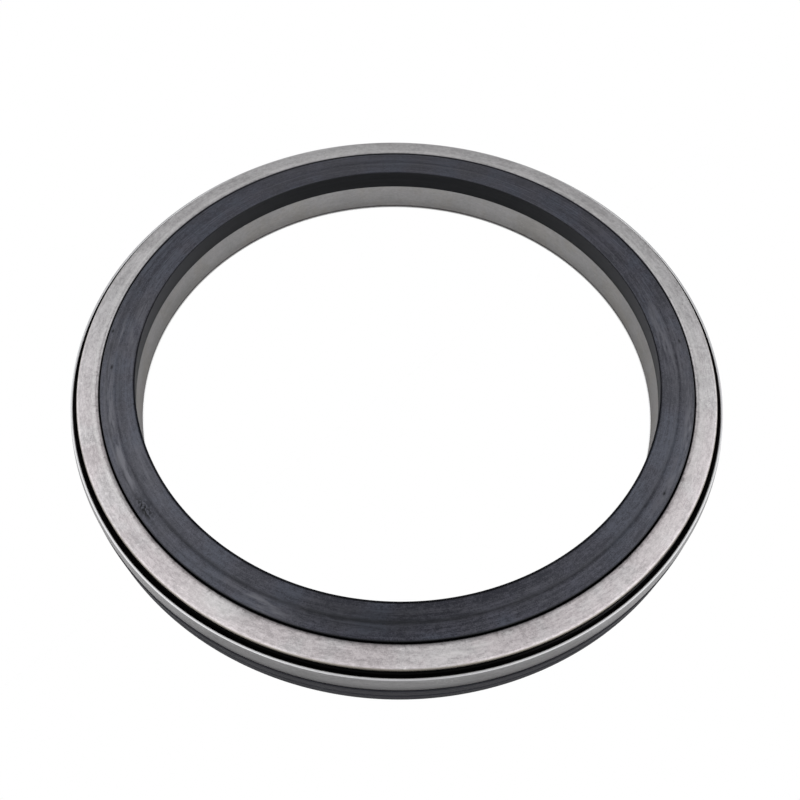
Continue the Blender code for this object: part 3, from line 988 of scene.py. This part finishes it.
# %% [markdown]
# ## Who rides with whom
# The wear sleeve and its rubber turn with the shaft. Everything else sits still in the housing. Each fine
# piece stands for the solid it was made from.

# %% Dress the seal
DRESSED = (
    (wear_sleeve, "wear_sleeve", "sleeve", "sleeve_steel", sleeve_steel),
    (sleeve_rubber, "sleeve_rubber", "sleeve", "face_rubber", face_rubber),
    (outer_case, "outer_case", "case", "case_steel", case_steel),
    (case_rubber, "case_rubber", "case", "cover_rubber", cover_rubber),
    (lip_carrier, "lip_carrier", "case", "carrier_steel", carrier_steel),
    (lip_rubber, "lip_rubber", "case", "lip_rubber", lip_material),
    (garter_spring, "garter_spring", "case", "spring_steel", spring_steel),
)
for piece, node, body, slot, material in DRESSED:
    piece.data.materials.append(material)
    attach(piece, body)
    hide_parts(node)
    print(piece.name, "rides on", body)

# %% [markdown]
# ## The floor
# Product pictures stand on pure white, but a table that is really white throws so much light up that steel
# walls lose their shading. Here the floor looks white to the camera, with a dark hairline of painted contact
# shadow where something stands on it or hangs just over it, and to every other ray it's a mid-grey table.
# Its grey differs inside and outside the ring, and again at the left and right, because it sets how much
# light each wall gets from below. Light Path tells which ray is asking, and Ambient Occlusion, with a reach
# under a millimetre, finds the hairline.

# %% Lay the floor
FLOOR_HALF = 3.0
TABLE_BORE = (0.44, 0.44, 0.44, 1.0)
TABLE_BORE_SIDE = (0.40, 0.40, 0.40, 1.0)
TABLE_FRONT = (0.39, 0.39, 0.39, 1.0)
TABLE_OUTSIDE = (0.56, 0.56, 0.56, 1.0)
BLACK = (0.0, 0.0, 0.0, 1.0)
WHITE = (1.0, 1.0, 1.0, 1.0)
CONTACT_REACH = 0.0006

floor_mesh = bpy.data.meshes.new("floor")
floor_corners = [(-FLOOR_HALF, -FLOOR_HALF, 0.0), (FLOOR_HALF, -FLOOR_HALF, 0.0),
                 (FLOOR_HALF, FLOOR_HALF, 0.0), (-FLOOR_HALF, FLOOR_HALF, 0.0)]
floor_mesh.from_pydata(floor_corners, [], [(0, 1, 2, 3)])
floor = bpy.data.objects.new("floor", floor_mesh)
bpy.context.scene.collection.objects.link(floor)

floor_paint = Paint("floor_white")
seen = floor_paint.node("LightPath", {}, output="Is Camera Ray")
# painted contact shadow: occlusion over a short reach darkens the white floor under the rings
open_sky = floor_paint.node("AmbientOcclusion", {"samples": 8}, Distance=CONTACT_REACH, output="AO")
clear = floor_paint.between(open_sky, 0.45, 0.85)
floor_x, floor_y, _ = floor_paint.split(floor_paint.node("TexCoord", {}, output="Object"))
floor_radius = floor_x.math("SQRT", floor_x * floor_x + floor_y * floor_y)
beside = floor_paint.between(abs(floor_x), 0.6 * tube_inner, tube_inner)
at_wall = floor_paint.between(abs(floor_x), 0.8 * tube_inner, 0.9 * tube_inner)
inside = floor_paint.mix(at_wall, TABLE_BORE, TABLE_BORE_SIDE)
outside = floor_paint.mix(beside, TABLE_FRONT, TABLE_OUTSIDE)
table = floor_paint.mix(floor_paint.between(floor_radius, tube_inner, case_wall), inside, outside)
floor_paint.set(Base_Color=floor_paint.mix(seen, table, BLACK), Roughness=0.9, Specular_IOR_Level=0.0,
                Emission_Color=floor_paint.mix(seen * clear, BLACK, WHITE), Emission_Strength=1.0)
floor_mesh.materials.append(floor_paint.material)
print("floor laid,", 2 * FLOOR_HALF, "m wide")

# %% [markdown]
# ## The light
# Satin steel is a blurred mirror, so lighting it means deciding what it mirrors. The sky is one formula of
# the direction (x, y, z): two wide soft boxes overhead, left and right, a gap between them at the zenith, a
# softer light on the near side, and a dim far side. The ring turns through all of them once round, which is
# why its flange is bright at four and eight o'clock and darker at the back.

# %% Light the studio
SKY_GAP = 0.50
SKY_BOX = 1.65
SKY_NEAR = 0.35
SKY_FAR = 0.24
FAR_WIDTH = 0.22
FAR_START = 0.60
FAR_FULL = 0.74
BOX_START = 0.08
BOX_FULL = 0.34
BOX_END = 0.46
BOX_GONE = 0.69
NEAR_END = 0.25
NEAR_FULL = -0.05
NEAR_START = -0.35
NEAR_LOW = -0.65


def studio_sky():
    """Light by direction: a level gap, boxes where |x| is large and y isn't, a strip over the near side
    and a hump about x = 0 on the far side. The camera itself sees white."""
    world = bpy.data.worlds.new("studio")
    world.use_nodes = True
    bpy.context.scene.world = world
    sky = Nodes(world.node_tree)
    x, y, _ = sky.split(sky.node("TexCoord", {}, output="Generated"))
    boxes = sky.between(abs(x - 0.04), BOX_START, BOX_FULL) * (1.0 - sky.between(y, BOX_END, BOX_GONE))
    near = (1.0 - sky.between(y, NEAR_FULL, NEAR_END)) * sky.between(y, NEAR_LOW, NEAR_START)
    far = sky.hump(x, 0.0, FAR_WIDTH) * sky.between(y, FAR_START, FAR_FULL)
    level = SKY_GAP + SKY_BOX * boxes + SKY_NEAR * near * (1.0 - boxes) + SKY_FAR * far
    seen = sky.node("LightPath", {}, output="Is Camera Ray")
    background = world.node_tree.nodes["Background"]
    sky.link(background.inputs["Color"], WHITE)
    sky.link(background.inputs["Strength"], seen + (1.0 - seen) * level)
    return world


studio_sky()
bpy.context.scene.view_settings.view_transform = "Standard"
print("sky between", SKY_GAP, "and", SKY_GAP + SKY_BOX)
